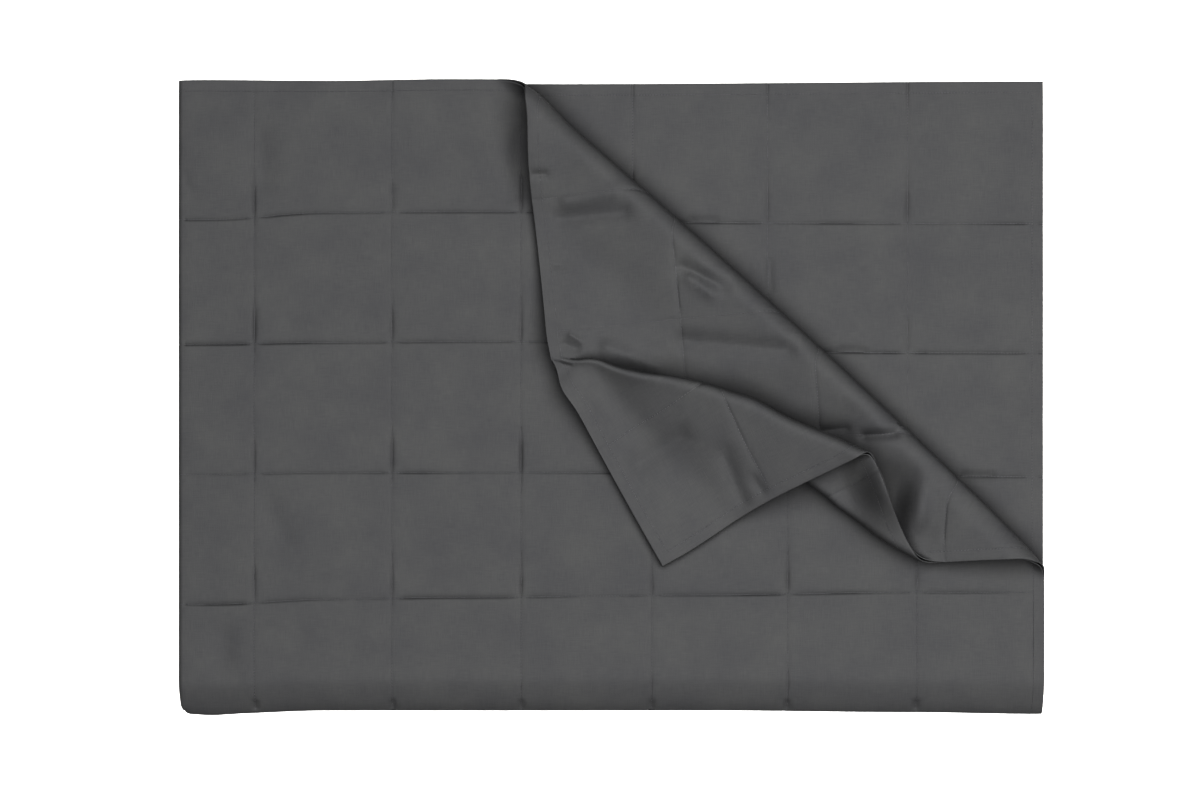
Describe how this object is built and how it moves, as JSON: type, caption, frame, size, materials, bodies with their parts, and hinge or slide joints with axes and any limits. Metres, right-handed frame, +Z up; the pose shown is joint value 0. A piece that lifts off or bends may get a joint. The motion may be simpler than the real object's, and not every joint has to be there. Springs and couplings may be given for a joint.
{
  "type": "folded weighted blanket",
  "caption": "Plain charcoal weighted blanket, quilted in square pockets, folded in layers and laid flat, with a corner of the top layer turned back.",
  "frame": {"origin": "middle of the footprint, on the surface that the blanket lies on", "axes": "+X along the long side of the folded blanket, away from its first fold; +Y along the short side, away from its second fold; +Z up"},
  "size_m": [0.997, 0.7309, 0.0731],
  "materials": {
    "quilted_cotton": "soft satin-weave cotton, charcoal grey, sewn in square pockets"
  },
  "bodies": {
    "root": {"quilted_blanket": "quilted_cotton"}
  },
  "joints": []
}
